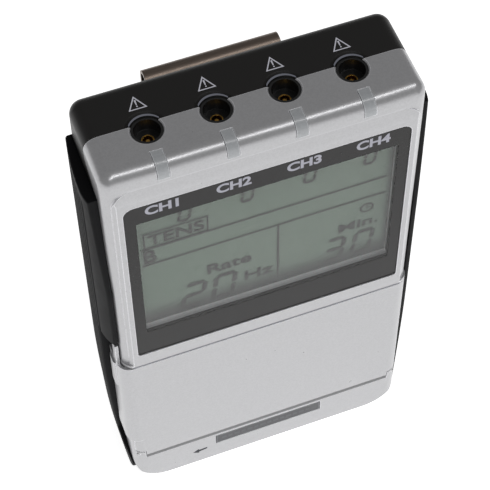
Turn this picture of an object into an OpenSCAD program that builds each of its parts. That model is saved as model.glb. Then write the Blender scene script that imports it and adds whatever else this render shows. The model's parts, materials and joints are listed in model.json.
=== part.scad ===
// Handheld four-channel electrotherapy unit, standing on its bottom end.
// Millimetres. +Z is up towards the lead sockets, -Y is the front, +X is to the right.
// The origin is on the resting face, midway across the width and the depth of the body.

/* [Body] */
// Height of the body
body_h = 144; // [140:1:150]
// Half of the body's width, without the side grips
body_hw = 39.9; // [39.2:0.1:40.2]
// Depth of the body from the lens frame to the back
body_d = 28; // [28:0.5:29]
// Thickness of the housing walls
wall = 2; // [1.8:0.1:2.2]
// Step between the lens frame and the strip round it
frame_step = 0.9; // [0.6:0.1:1]
// How far the side grips stand out from the body
grip_t = 3.1; // [2.9:0.1:3.5]

/* [Display] */
// Width of the lens
lens_w = 71.3; // [70:0.1:71.6]
// Height of the lens
lens_h = 64.2; // [63:0.1:64.6]
// Height of the lens's lower edge above the resting face
lens_z = 69.0; // [69:0.1:69.4]
// Width of the clear window
window_w = 65.6; // [64:0.1:66]
// Height of the clear window
window_h = 47.5; // [46:0.1:48]
// Height of the window's lower edge above the resting face
window_z = 78.8; // [78.5:0.1:79.2]

/* [Sockets] */
// Distance between neighbouring lead sockets
jack_pitch = 16.72; // [16.4:0.02:17]
// Radius of the recess that a lead's plug enters
jack_r = 3.2; // [3:0.1:3.3]
// Depth of that recess
jack_depth = 4; // [3.5:0.1:4.5]
// Width of a light pipe
pipe_w = 2.9; // [2.6:0.1:3.2]

/* [Keypad door] */
// Height of the door's upper edge above the resting face
door_z1 = 63.4; // [63:0.1:63.8]
// Height of the door's lower edge above the resting face
door_z0 = 14.3; // [14.2:0.1:14.6]
// Thickness of the door
door_t = 1.4; // [1.3:0.1:1.5]
// Travel of a key
key_travel = 1; // [0.8:0.1:1]

/* [Power] */
// Diameter of a battery cell
cell_d = 14.3; // [14:0.1:14.5]
// Length of a battery cell without its button
cell_l = 49.2; // [49:0.1:49.5]
// Distance between the cells' centre lines
cell_pitch = 14.8; // [14.6:0.1:14.9]

/* [Belt clip] */
// Width of the clip
clip_w = 34; // [30:1:36]
// Middle of the clip, measured from the middle of the body
clip_x = -3; // [-5:1:0]
// Thickness of the clip's steel sheet
clip_t = 0.8; // [0.7:0.1:0.9]

/* [Hidden] */
$fn = 48;
eps = 0.01;
gap = 0.25;                       // moulding gap between neighbouring pieces
cut = 5;                          // how far a cutter runs past the face that it cuts

front_y = -body_d / 2;            // lens frame and door
strip_y = front_y + frame_step;   // strip round the lens frame
back_y = body_d / 2;
split_top_y = 0.4;                // parting line of the housings on the top face
split_side_y = -10.6;             // parting line of the housings on the sides
split_bend = [-7.8, 131];         // Y and Z where its swing from the top face ends
split_side_z = 96;                // from here down it is upright
split_top_z = body_h - 5;
split_steps = 12;
cheek_y = -3;                     // the front housing reaches back here beside the hinge
cheek_z = [15, 26];
edge_r = 3.5;                     // rounded edges of the body
bottom_r = 10;                    // lower corners seen from the front
bottom_edge_r = 1.2;              // lower edge of the front

frame_hw = 38;                    // half width of the raised lens frame
frame_bevel = 0.9;                // slope at the frame's sides
frame_z1 = body_h - 5.3;          // upper edge of the frame's slope
frame_slope = 3.5;
frame_r = 4.5;
lens_t = 1.5;
lens_sink = 0.35;                 // lens face below the frame
gasket_t = 0.2;
lens_y = front_y + lens_sink;
gasket_y = lens_y + lens_t;
ledge_y = gasket_y + gasket_t;    // ledge that carries the lens
ledge_t = 1.1;
ledge_z = [65, 134.5];
lcd_hole_hw = 34.4;               // hole in the ledge, in front of the display
lcd_hole_z = [77.2, 127.6];
lens_top_r = 2.6;
lens_bottom_r = 1;

lcd_y = front_y + 3.9;
lcd_t = 2.6;
lcd_w = 70;
lcd_h = 49.6;
board_y = front_y + 7.8;          // front of the main board
board_t = 1.6;
parts_y = board_y + board_t;      // back of the main board, which carries the parts
board_hw = 31.4;
board_z0 = 16;
board_z1 = 128.2;
jack_board_z = 129.4;
led_z = jack_board_z + board_t;
led_h = 1;
peg_x = 30;                       // pegs and screws that hold the main board
peg_z = 19;
board_screw_z = 64.8;
transformer_x = [for (i = [0:3]) (i - 1.5) * 15.6];
transformer_z = 101;
buzzer_x = -22;
buzzer_z = 72;
pipe_stem_y = strip_y + 2.6;      // stems of the light pipes, in front of the jack board
pipe_stem_t = 1.6;
pipe_proud = 0.15;
pipe_leg = 0.5;                   // down the front from the rounded edge
pipe_tail = 1.7;                  // back along the top from the rounded edge
pipe_depth = 2.2;

jack_y = front_y + 12.46;
jack_x = [for (i = [0:3]) (i - 1.5) * jack_pitch];
jack_wall = 0.6;
jack_h = 12.9;
sleeve_r = 1.55;
sleeve_wall = 0.3;
pin_r = 0.5;

deck_y = front_y + 3.6;           // keypad deck under the door
deck_t = 1.6;
deck_hw = 35;
inner_hw = body_hw - wall - 0.8;  // just inside the side walls
deck_z0 = 17.6;
deck_z1 = 60.6;
door_y1 = front_y + door_t;
hinge_y = front_y + 1.1;
hinge_z = door_z0 + 1.1;
hinge_pin_r = 0.55;
hinge_fit = 0.05;
barrel_hw = 36.4;
grip_y = [front_y + 2.8, front_y + 25.8];
grip_z = [0.6, 132.8];
grip_crest_y = front_y + 10;      // where a grip stands out most
grip_front_r = 14;
grip_back_r = 80;
grip_taper_z = 36;                // below this a grip grows thinner
grip_taper_r = 330;
grip_top_r = 1.6;
grip_low_r = [6.5, 10];            // lower corners at the front and at the back
wing_gap = 0.2;
wing_t = 0.9;                     // side walls of the door, outside the housing
wing_y1 = front_y + 9.4;
wing_z0 = 24;
ear_y = [front_y + 3, front_y + 5.6];   // tab above the door's upper edge
ear_z1 = 72;
thumb_y = [front_y + 4, front_y + 8.4]; // pull on the side wall
thumb_z = [50.6, 62];

plate_hw = 15.8;                  // nameplate under the door
plate_z = [8.4, 12.4];
plate_t = 0.4;

key_w = 8.4;
key_h = 6.4;
key_up = 1.3;                     // how far a key stands above the deck
key_x = [for (i = [0:3]) (i - 1.5) * jack_pitch];
key_z = [53.4, 43.6, 27.4];
dome_r = 2.4;
dome_h = 0.9;
mat_t = 0.6;

cell_y = back_y - wall - 0.5 - cell_d / 2;
cell_z0 = 7.4;
cell_button = 1.3;
cell_x = [for (i = [0:3]) (i - 1.5) * cell_pitch];
tray_hw = 30.2;
tray_z1 = 61.6;
tray_y0 = cell_y - cell_d / 2 - 1.5;
tray_t = 1;
hatch_hw = 30.6;
hatch_z1 = 60;
hatch_t = 1.8;
hatch_travel = 8;
tongue_z = [14, 32, 50];          // tongues that hold the battery door behind the back
tongue_l = 5;

screw_x = 34.4;
screw_z = [10.4, 133];
screw_r = 1.2;
screw_head_r = 2.1;
screw_head_t = 1.3;
screw_sink = 1.5;                 // depth of the counterbores in the back
boss_r = 2.4;
boss_meet_y = front_y + 11;       // where the screw posts of the two housings meet
clip_gap = 0.35;
clip_fold_r = 2.7;
clip_fold_z = 137.6;
clip_leg_z0 = 98;
rail_w = 2.2;
rail_h = 2.4;
rail_z1 = 126;

inlet_z = 116;
inlet_y = 3.4;
inlet_r = 2.9;

// ---- shared shapes ----

// A rectangle with a radius for each corner: lower left, lower right, upper right, upper left
module rounded(x0, y0, x1, y1, r) {
    corner = [[x0, y0, 1, 1], [x1, y0, -1, 1], [x1, y1, -1, -1], [x0, y1, 1, -1]];
    difference() {
        translate([x0, y0]) square([x1 - x0, y1 - y0]);
        for (i = [0:3]) if (r[i] > 0)
            translate([corner[i][0], corner[i][1]])
                mirror([corner[i][2] < 0 ? 1 : 0, 0]) mirror([0, corner[i][3] < 0 ? 1 : 0])
                    difference() {
                        translate([-1, -1]) square(r[i] + 1);
                        translate([r[i], r[i]]) circle(r[i]);
                    }
    }
}

module along_x(x0, x1) translate([x0, 0, 0]) rotate([90, 0, 90]) linear_extrude(x1 - x0) children();
module along_y(y0, y1) translate([0, y1, 0]) rotate([90, 0, 0]) linear_extrude(y1 - y0) children();
module along_z(z0, z1) translate([0, 0, z0]) linear_extrude(z1 - z0) children();
module box(x0, x1, y0, y1, z0, z1) translate([x0, y0, z0]) cube([x1 - x0, y1 - y0, z1 - z0]);
module rod_x(x0, x1, y, z, r) translate([x0, y, z]) rotate([0, 90, 0]) cylinder(r = r, h = x1 - x0);
module rod_y(x, y0, y1, z, r) translate([x, y0, z]) rotate([-90, 0, 0]) cylinder(r = r, h = y1 - y0);
module rod_z(x, y, z0, z1, r) translate([x, y, z0]) cylinder(r = r, h = z1 - z0);
module both_sides() {
    children();
    mirror([1, 0, 0]) children();
}

// The rounded outer form of the body from a given front plane, shrunk by an inset
module envelope(front, inset = 0) {
    i = inset;
    r = edge_r - i;
    low_r = max(bottom_edge_r - i, 0);
    difference() {
        intersection() {
            along_y(front + i, back_y - i)
                rounded(-body_hw + i, i, body_hw - i, body_h - i, [bottom_r - i, bottom_r - i, r, r]);
            along_z(i, body_h - i)
                rounded(-body_hw + i, front + i, body_hw - i, back_y - i, [r, r, r, r]);
            along_x(-body_hw, body_hw)
                rounded(front + i, i, back_y - i, body_h - i, [low_r, r, r, r]);
        }
        both_sides() {
            translate([body_hw - edge_r, back_y - edge_r, body_h - edge_r]) ball_corner(r);
            translate([body_hw - edge_r, front + edge_r, body_h - edge_r])
                mirror([0, 1, 0]) ball_corner(r);
            translate([body_hw - bottom_r, 0, bottom_r]) difference() {
                box(0, bottom_r + 1, front - 1, back_y + 1, -bottom_r - 1, 0);
                rotate([-90, 0, 0]) rotate_extrude()
                    rounded(0, front + i, bottom_r - i, back_y - i, [0, low_r, r, 0]);
            }
        }
    }
}

// What a ball-shaped corner of radius r takes off a square one
module ball_corner(r) difference() {
    cube(edge_r + 1);
    sphere(r);
}

// The side of the parting surface that belongs to the front housing
module front_region(shift = 0) {
    swing = [for (s = [0:split_steps]) let (t = s / split_steps)
        [split_top_y + (split_bend[0] - split_top_y) * (3 * t * t - 2 * t * t * t) + shift,
            split_top_z + (split_bend[1] - split_top_z) * t]];
    side = split_side_y + shift;
    cheek = [[side, cheek_z[1] + 4], [cheek_y + shift, cheek_z[1]], [cheek_y + shift, cheek_z[0]],
        [side, cheek_z[0] - 8]];
    along_x(-body_hw - cut, body_hw + cut)
        polygon(concat([[front_y - cut, -cut], [front_y - cut, body_h + cut],
            [split_top_y + shift, body_h + cut]], swing, [[side, split_side_z]], cheek,
            [[side, -cut]]));
}

// ---- housings ----

module lens_frame_block() {
    intersection() {
        along_y(front_y, strip_y + 1)
            rounded(-frame_hw, door_z1, frame_hw, frame_z1, [0, 0, frame_r, frame_r]);
        along_x(-frame_hw, frame_hw)
            polygon([[strip_y + 1, door_z1], [strip_y + 1, frame_z1], [strip_y, frame_z1],
                [front_y, frame_z1 - frame_slope], [front_y, door_z1]]);
        along_z(door_z1 - 1, body_h)
            polygon([[-frame_hw, strip_y + 1], [-frame_hw, strip_y],
                [frame_bevel - frame_hw, front_y], [frame_hw - frame_bevel, front_y],
                [frame_hw, strip_y], [frame_hw, strip_y + 1]]);
    }
}

module lens_outline(grow) {
    rounded(-lens_w / 2 - grow, lens_z - grow, lens_w / 2 + grow, lens_z + lens_h + grow,
        [lens_bottom_r, lens_bottom_r, lens_top_r, lens_top_r]);
}

// The quarter-round strip of a light pipe over the top front edge, as a section in Y and Z
module pipe_section(grow, depth) {
    y = strip_y + edge_r;
    z = body_h - edge_r;
    difference() {
        union() {
            intersection() {
                translate([y, z]) circle(edge_r + pipe_proud);
                translate([y - 9, z]) square(9);
            }
            translate([y - eps, body_h - depth]) square([pipe_tail + grow, depth + pipe_proud]);
            translate([strip_y - pipe_proud, z - pipe_leg - grow])
                square([depth + pipe_proud, pipe_leg + grow + eps]);
        }
        translate([y, z]) circle(edge_r - depth);
    }
}

module jack_holes(chamfer) {
    for (x = jack_x) {
        rod_z(x, jack_y, body_h - 4, body_h + cut, jack_r + jack_wall + 0.05);
        translate([x, jack_y, body_h - chamfer])
            cylinder(r1 = jack_r + jack_wall, r2 = jack_r + jack_wall + chamfer + 0.5, h = chamfer + 0.5);
    }
}

module front_housing() {
    color("silver") difference() {
        union() {
            intersection() {
                difference() {
                    union() {
                        envelope(strip_y);
                        lens_frame_block();
                        intersection() {
                            envelope(front_y);
                            box(-50, 50, -50, 50, -1, door_z1 + gap + 1);
                        }
                    }
                    envelope(strip_y, wall);
                }
                front_region();
            }
            // ledge under the lens, keypad deck and the wall between them
            box(-frame_hw, frame_hw, ledge_y, ledge_y + ledge_t, ledge_z[0], ledge_z[1]);
            box(-inner_hw, inner_hw, strip_y + wall - 0.1, deck_y + deck_t, bottom_r, ledge_z[0] + 1);
            box(-body_hw + 3, body_hw - 3, ledge_y, deck_y + 1, ledge_z[0] - 1.4, ledge_z[0] + 0.4);
            // screw posts
            for (x = [-screw_x, screw_x], z = screw_z)
                rod_y(x, ledge_y + 0.2, boss_meet_y - 0.2, z, boss_r);
            // posts and pegs of the main board
            for (x = [-peg_x, peg_x]) {
                rod_y(x, deck_y + 1, board_y, board_screw_z, 1.8);
                rod_y(x, deck_y + 1, board_y, peg_z, 1.5);
                rod_y(x, deck_y + 1, board_y + board_t - 0.3, peg_z, 0.9);
            }
        }
        // pocket and window of the lens
        along_y(front_y - cut, ledge_y) lens_outline(0.1);
        box(-lcd_hole_hw, lcd_hole_hw, ledge_y - 1, ledge_y + ledge_t + 1, lcd_hole_z[0], lcd_hole_z[1]);
        // recess of the keypad and the room that the door fills
        box(-deck_hw, deck_hw, front_y - cut, deck_y, deck_z0, deck_z1);
        box(-50, 50, front_y - cut, door_y1 + 0.15, door_z0 + 2.3, door_z1 + gap);
        box(-barrel_hw - gap, barrel_hw + gap, front_y - cut, front_y + 2.6,
            door_z0 - gap, door_z0 + 2.8);
        // relief under the barrel, so that the door can open past level
        translate([0, front_y, door_z0 - gap]) rotate([45, 0, 0])
            cube([2 * barrel_hw + 0.5, 0.9, 0.9], center = true);
        rod_x(-body_hw + 0.8, body_hw - 0.8, hinge_y, hinge_z, hinge_pin_r);
        for (x = key_x, z = key_z) key_hole(x, z);
        jack_holes(0.35);
        for (x = jack_x) translate([x, 0, 0])
            along_x(-pipe_w / 2 - 0.1, pipe_w / 2 + 0.1) pipe_section(0.1, pipe_depth + 0.2);
        for (x = [-screw_x, screw_x], z = screw_z)
            rod_y(x, deck_y + 1.5, 0, z, screw_r - 0.1);
        for (x = [-peg_x, peg_x]) rod_y(x, deck_y + 1.4, 0, board_screw_z, 1);
        box(-plate_hw - gap, plate_hw + gap, front_y - cut, front_y + plate_t + 0.05,
            plate_z[0] - gap, plate_z[1] + gap);
    }
}

module rear_housing() {
    color([0.13, 0.13, 0.12]) difference() {
        union() {
            difference() {
                intersection() {
                    difference() {
                        envelope(strip_y);
                        envelope(strip_y, wall);
                    }
                    box(-50, 50, -50, 50, -1, body_h + 1);
                }
                front_region(0.05);
            }
            // battery tray
            difference() {
                box(-tray_hw - tray_t, tray_hw + tray_t, tray_y0, back_y - 3.2, wall - 1, tray_z1 + tray_t);
                box(-tray_hw, tray_hw, tray_y0 + tray_t, back_y, wall, tray_z1);
            }
            for (x = [-screw_x, screw_x], z = screw_z) rod_y(x, boss_meet_y, back_y - 1, z, boss_r);
            clip_rails();
        }
        hatch_opening();
        jack_holes(1.5);
        for (x = [-screw_x, screw_x], z = screw_z) {
            rod_y(x, boss_meet_y - 1, back_y, z, screw_r + 0.15);
            rod_y(x, back_y - screw_sink, back_y + 1, z, screw_head_r + 0.3);
        }
        rod_x(30, body_hw + 1, inlet_y, inlet_z, inlet_r + 0.75);
    }
}

// Rails on the back that the clip's inner leg slides into, open at the top
module clip_rails() {
    z0 = clip_leg_z0 - 2;
    for (s = [-1, 1]) translate([clip_x + s * clip_w / 2, 0, 0]) mirror([s < 0 ? 1 : 0, 0, 0]) {
        box(0.3, rail_w, back_y - 0.5, back_y + rail_h, z0, rail_z1);
        box(-1.6, rail_w, back_y + 1.5, back_y + rail_h, z0, rail_z1);
    }
    box(clip_x - clip_w / 2 - rail_w, clip_x + clip_w / 2 + rail_w, back_y - 0.5,
        back_y + rail_h, z0, clip_leg_z0 - 0.3);
}

// Opening of the battery compartment, with the notches that let the door's tongues out
module hatch_opening() {
    box(-hatch_hw - 0.15, hatch_hw + 0.15, back_y - 3.1, back_y + 1, wall, hatch_z1 + 0.2);
    box(-hatch_hw - 0.15, hatch_hw + 0.15, back_y - hatch_t - 0.15, back_y + 1, -1, wall + 1);
    for (z = tongue_z) both_sides()
        box(hatch_hw - 1, hatch_hw + 1.3, back_y - 3.1, back_y + 1,
            z - hatch_travel - 0.3, z - hatch_travel + tongue_l + 0.3);
}

// Section of a side grip in X and Y
module grip_profile() {
    x = body_hw + grip_t;
    intersection() {
        translate([x - grip_back_r, grip_crest_y]) circle(grip_back_r, $fn = 180);
        union() {
            translate([x - grip_front_r, grip_crest_y]) circle(grip_front_r, $fn = 96);
            translate([0, grip_crest_y]) square(body_hw + cut);
        }
    }
}

// Outline of a side grip in Y and Z, for the left one with room for the door's side wall
// and the cheek below it
module grip_outline(room) difference() {
    rounded(grip_y[0], grip_z[0], grip_y[1], grip_z[1], [grip_low_r[0], grip_low_r[1], 0, 0]);
    polygon([[grip_y[0] - 1, split_side_z], [grip_y[0], split_side_z],
        [split_bend[0] - 0.6, grip_z[1] + 1], [grip_y[0] - 1, grip_z[1] + 1]]);
    if (room)
        polygon([[grip_y[0] - 1, ear_z1 + 1.2], [wing_y1 + 0.6, ear_z1 + 1.2],
            [wing_y1 + 0.6, cheek_z[1]], [cheek_y + 0.4, cheek_z[1]], [cheek_y + 0.4, cheek_z[0]],
            [grip_y[0] - 1, cheek_z[0] - 8.4]]);
}

module side_grip(room) {
    x = body_hw + grip_t;
    difference() {
        intersection() {
            along_z(grip_z[0], grip_z[1]) grip_profile();
            along_x(30, x + 1) grip_outline(room);
            along_y(grip_y[0] - 1, grip_y[1] + 1) {
                rounded(0, grip_taper_z, x, grip_z[1], [0, 0, grip_top_r, 0]);
                intersection() {
                    translate([x - grip_taper_r, grip_taper_z]) circle(grip_taper_r, $fn = 360);
                    translate([0, -1]) square([x, grip_taper_z + 1]);
                }
            }
        }
        // the housings
        intersection() {
            along_y(front_y - 1, back_y + 1)
                rounded(0, -1, body_hw + 0.02, body_h, [0, bottom_r + 1, 0, 0]);
            along_z(-1, body_h) rounded(0, front_y, body_hw + 0.02, back_y, [0, edge_r, edge_r, 0]);
        }
    }
}

module left_grip() color([0.1, 0.1, 0.11]) mirror([1, 0, 0]) side_grip(true);

module right_grip() color([0.1, 0.1, 0.11]) difference() {
    side_grip(false);
    rod_x(30, 50, inlet_y, inlet_z, inlet_r + 1.3);
}

// ---- display ----

module display_lens() color([0.85, 0.88, 0.88, 0.4]) along_y(lens_y, gasket_y) lens_outline(0);

module lens_gasket() color([0.16, 0.16, 0.16]) along_y(gasket_y, ledge_y) difference() {
    lens_outline(-0.15);
    translate([-window_w / 2, window_z]) square([window_w, window_h]);
}

module lcd_panel() color([0.52, 0.57, 0.52]) {
    cz = window_z + window_h / 2;
    box(-lcd_w / 2, lcd_w / 2, lcd_y, lcd_y + lcd_t, cz - lcd_h / 2, cz + lcd_h / 2);
}

module lcd_frame() {
    cz = window_z + window_h / 2;
    color([0.8, 0.8, 0.78]) difference() {
        box(-36.6, 36.6, ledge_y + ledge_t, board_y, cz - 26.2, cz + 26.2);
        box(-33.6, 33.6, front_y, lcd_y + 0.1, cz - 24.2, cz + 24.2);
        box(-lcd_w / 2 - 0.1, lcd_w / 2 + 0.1, lcd_y, board_y + 1, cz - lcd_h / 2 - 0.1,
            cz + lcd_h / 2 + 0.1);
    }
}

module lcd_connector_strips() color([0.75, 0.4, 0.45]) {
    cz = window_z + window_h / 2;
    for (z = [cz - lcd_h / 2 + 0.4, cz + lcd_h / 2 - 2.4])
        box(-31, 31, lcd_y + lcd_t, board_y, z, z + 2);
}

// ---- sockets and lights ----

module light_pipe(i) color([0.5, 0.52, 0.53, 0.8]) translate([jack_x[i], 0, 0])
    along_x(-pipe_w / 2, pipe_w / 2) {
        pipe_section(0, pipe_depth);
        translate([pipe_stem_y, led_z + led_h + 0.3])
            square([pipe_stem_t, body_h - pipe_depth + 0.2 - led_z - led_h - 0.3]);
    }
module light_pipe_1() light_pipe(0);
module light_pipe_2() light_pipe(1);
module light_pipe_3() light_pipe(2);
module light_pipe_4() light_pipe(3);

module channel_leds() color([0.9, 0.95, 0.85]) for (x = jack_x)
    box(x - 1, x + 1, pipe_stem_y, pipe_stem_y + pipe_stem_t, led_z, led_z + led_h);

module lead_jack(i) color([0.07, 0.07, 0.07]) difference() {
    rod_z(jack_x[i], jack_y, body_h - jack_h, body_h - 0.4, jack_r + jack_wall);
    rod_z(jack_x[i], jack_y, body_h - jack_depth, body_h + 1, jack_r);
    rod_z(jack_x[i], jack_y, body_h - jack_h - 1, body_h, sleeve_r);
}
module lead_jack_1() lead_jack(0);
module lead_jack_2() lead_jack(1);
module lead_jack_3() lead_jack(2);
module lead_jack_4() lead_jack(3);

module jack_sleeves() color([0.8, 0.65, 0.3]) for (x = jack_x) difference() {
    rod_z(x, jack_y, body_h - jack_h, body_h - jack_depth + 0.05, sleeve_r);
    rod_z(x, jack_y, body_h - jack_h + 1.5, body_h, sleeve_r - sleeve_wall);
}

module jack_pins() color([0.85, 0.7, 0.35]) for (x = jack_x)
    rod_z(x, jack_y, body_h - jack_h + 1.5, body_h - jack_depth - 0.3, pin_r);

module jack_board() color([0.1, 0.35, 0.2])
    box(-30.8, 30.8, pipe_stem_y - 0.1, 9, jack_board_z, led_z);

module board_header() color([0.15, 0.15, 0.16])
    box(-16, 16, parts_y, parts_y + 2.4, 123, jack_board_z);

// ---- boards ----

module main_board() color([0.1, 0.35, 0.2]) difference() {
    box(-board_hw, board_hw, board_y, board_y + board_t, board_z0, board_z1);
    for (x = [-peg_x, peg_x], z = [peg_z, board_screw_z]) rod_y(x, -20, 0, z, 1.05);
}

module controller_chip() color([0.12, 0.12, 0.13]) box(-7, 7, parts_y, parts_y + 1.6, 69, 83);

module output_transformers() color([0.25, 0.25, 0.27]) for (x = transformer_x)
    translate([x, parts_y, transformer_z]) difference() {
        box(-6.5, 6.5, 0, 12, -6.5, 6.5);
        box(-4.5, 4.5, 2, 10, -7, 7);
    }

module transformer_coils() color([0.75, 0.5, 0.2]) for (x = transformer_x)
    translate([x, parts_y, transformer_z]) box(-4.5, 4.5, 2, 10, -6, 6);

module capacitors() color([0.15, 0.2, 0.45]) for (x = [-24, -14, 14, 24])
    rod_y(x, parts_y, parts_y + 9, 84, 4);

module buzzer() color([0.1, 0.1, 0.1]) difference() {
    rod_y(buzzer_x, parts_y, parts_y + 5, buzzer_z, 5.5);
    rod_y(buzzer_x, parts_y + 4, parts_y + 6, buzzer_z, 1);
}

module dc_inlet() color([0.08, 0.08, 0.08]) difference() {
    union() {
        rod_x(body_hw - 8, body_hw + 1.4, inlet_y, inlet_z, inlet_r + 0.6);
        box(body_hw - 8, body_hw - wall - 0.1, inlet_y - 4, inlet_y + 4, inlet_z - 4, inlet_z + 4);
    }
    rod_x(body_hw - 1.6, body_hw + 3, inlet_y, inlet_z, inlet_r);
    rod_x(body_hw - 7, body_hw, inlet_y, inlet_z, 1.8);
}

module dc_inlet_pin() color([0.8, 0.8, 0.8])
    rod_x(body_hw - 7, body_hw - 2.2, inlet_y, inlet_z, 0.6);

// ---- keypad ----

module key_outline(x, z, grow) {
    translate([x, z]) rounded(-key_w / 2 - grow, -key_h / 2 - grow, key_w / 2 + grow,
        key_h / 2 + grow, [2, 2, 2, 2]);
}

module key_hole(x, z) along_y(deck_y - 1, deck_y + deck_t + 1) key_outline(x, z, 0.3);

module key_mat() color([0.3, 0.3, 0.32]) {
    box(-28.2, 28.2, board_y - mat_t, board_y, deck_z0 + 3, deck_z1);
    for (x = key_x, z = key_z) rod_y(x, board_y - mat_t - dome_h, board_y - mat_t / 2, z, dome_r);
}

module key(column, row) {
    x = key_x[column];
    z = key_z[row];
    flange_y = deck_y + deck_t + 0.2;
    difference() {
        union() {
            along_y(deck_y - key_up, flange_y + eps) key_outline(x, z, 0);
            along_y(flange_y, board_y - mat_t - key_travel) key_outline(x, z, 0.9);
        }
        rod_y(x, board_y - mat_t - dome_h - key_travel - 0.1, board_y, z, dome_r + 0.4);
    }
}

module ch1_up_key() color([0.55, 0.56, 0.58]) key(0, 0);
module ch2_up_key() color([0.55, 0.56, 0.58]) key(1, 0);
module ch3_up_key() color([0.55, 0.56, 0.58]) key(2, 0);
module ch4_up_key() color([0.55, 0.56, 0.58]) key(3, 0);
module ch1_down_key() color([0.55, 0.56, 0.58]) key(0, 1);
module ch2_down_key() color([0.55, 0.56, 0.58]) key(1, 1);
module ch3_down_key() color([0.55, 0.56, 0.58]) key(2, 1);
module ch4_down_key() color([0.55, 0.56, 0.58]) key(3, 1);
module power_key() color([0.75, 0.2, 0.15]) key(0, 2);
module mode_key() color([0.35, 0.37, 0.4]) key(1, 2);
module select_key() color([0.35, 0.37, 0.4]) key(2, 2);
module set_key() color([0.35, 0.37, 0.4]) key(3, 2);

module keypad_door() {
    color("silver") difference() {
        union() {
            intersection() {
                envelope(front_y);
                box(-50, 50, front_y - 1, door_y1, hinge_z, door_z1);
            }
            rod_x(-barrel_hw, barrel_hw, hinge_y, hinge_z, hinge_z - door_z0);
            mirror([1, 0, 0]) door_wing();
        }
        rod_x(-barrel_hw - 1, barrel_hw + 1, hinge_y, hinge_z, hinge_pin_r + hinge_fit);
        both_sides() box(barrel_hw, 50, front_y - 1, door_y1 + 1, door_z0 - 1, door_z0 + 2.75);
    }
}

// Side wall of the door, outside the housing's left side, with a tab above and a thumb pull
module door_wing() {
    x = body_hw + wing_gap;
    along_z(wing_z0, door_z1) difference() {
        rounded(x - 4, front_y, x + wing_t, wing_y1, [0, edge_r, 0.4, 0]);
        intersection() {
            rounded(0, front_y - wing_gap, x, back_y, [0, edge_r + wing_gap, 0, 0]);
            translate([0, door_y1]) square(body_hw + cut);
        }
    }
    box(x, x + wing_t, ear_y[0], ear_y[1], door_z1 - 1, ear_z1);
    along_z(thumb_z[0], thumb_z[1])
        rounded(x, thumb_y[0], x + wing_t + 0.6, thumb_y[1], [0, 1.2, 1.2, 0]);
}

module door_hinge_pin() color([0.75, 0.75, 0.76])
    rod_x(-body_hw + 0.9, body_hw - 0.9, hinge_y, hinge_z, hinge_pin_r);

module nameplate() color([0.3, 0.3, 0.31])
    box(-plate_hw, plate_hw, front_y + 0.05, front_y + plate_t + 0.05, plate_z[0], plate_z[1]);

// ---- power ----

module battery_door() color([0.13, 0.13, 0.12]) {
    difference() {
        intersection() {
            envelope(strip_y);
            box(-hatch_hw, hatch_hw, back_y - hatch_t, back_y + 1, -1, hatch_z1);
        }
        for (z = [36:2.4:50]) rod_x(-9, 9, back_y + 0.35, z, 0.7);
    }
    for (z = tongue_z) both_sides() {
        box(hatch_hw - 1, hatch_hw + 0.9, back_y - 3, back_y - wall - 0.15, z, z + tongue_l);
        box(hatch_hw - 1, hatch_hw, back_y - 3, back_y - hatch_t + eps, z, z + tongue_l);
    }
}

// A cell with its button up, or down when flipped
module battery_cell(i) {
    flip = i % 2;
    color([0.2, 0.35, 0.25]) translate([cell_x[i], cell_y, cell_z0 + (flip ? cell_l + cell_button : 0)])
        rotate([flip ? 180 : 0, 0, 0]) {
            cylinder(r = cell_d / 2, h = cell_l);
            cylinder(r = 2.7, h = cell_l + cell_button);
        }
}
module battery_cell_1() battery_cell(0);
module battery_cell_2() battery_cell(1);
module battery_cell_3() battery_cell(2);
module battery_cell_4() battery_cell(3);

// Points of a ring across the coil of a conical contact spring, t from 0 to 1 along it
function spring_ring(t, turns, r0, r1, h, wire, sides) =
    let (a = 360 * turns * t, r = r0 + (r1 - r0) * t)
    [for (k = [0:sides - 1]) let (b = 360 * k / sides, q = r + wire * cos(b))
        [q * cos(a), q * sin(a), h * t + wire * sin(b)]];

module contact_spring(h) {
    rings = 36;
    sides = 6;
    points = [for (i = [0:rings]) each spring_ring(i / rings, 3, 4.4, 2.4, h, 0.35, sides)];
    faces = concat(
        [[for (k = [sides - 1:-1:0]) k]],
        [for (i = [0:rings - 1], k = [0:sides - 1]) let (n = (k + 1) % sides)
            [i * sides + k, i * sides + n, (i + 1) * sides + n, (i + 1) * sides + k]],
        [[for (k = [0:sides - 1]) rings * sides + k]]);
    polyhedron(points, faces);
}

module battery_springs() color([0.75, 0.75, 0.75]) for (i = [0:3]) {
    if (i % 2 == 0) translate([cell_x[i], cell_y, wall + 0.9]) contact_spring(cell_z0 - wall - 1.6);
    else translate([cell_x[i], cell_y, tray_z1 - 0.9]) rotate([180, 0, 0])
        contact_spring(tray_z1 - cell_z0 - cell_l - cell_button - 1.6);
}

module battery_contacts() color([0.8, 0.8, 0.8]) {
    for (x = [-1, 1] * cell_pitch)
        box(x - cell_pitch / 2 - 5, x + cell_pitch / 2 + 5, cell_y - 5, cell_y + 5, wall, wall + 0.4);
    for (x = [-1.5, 0, 1.5] * cell_pitch)
        box(x - (x == 0 ? cell_pitch / 2 : 0) - 5, x + (x == 0 ? cell_pitch / 2 : 0) + 5,
            cell_y - 5, cell_y + 5, tray_z1 - 0.4, tray_z1);
}

// ---- fastened pieces ----

// A bar of sheet between two points of a section in Y and Z
module sheet_bar(a, b) {
    d = b - a;
    translate(a) rotate(atan2(d[1], d[0])) translate([0, -clip_t / 2]) square([norm(d), clip_t]);
}

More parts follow.
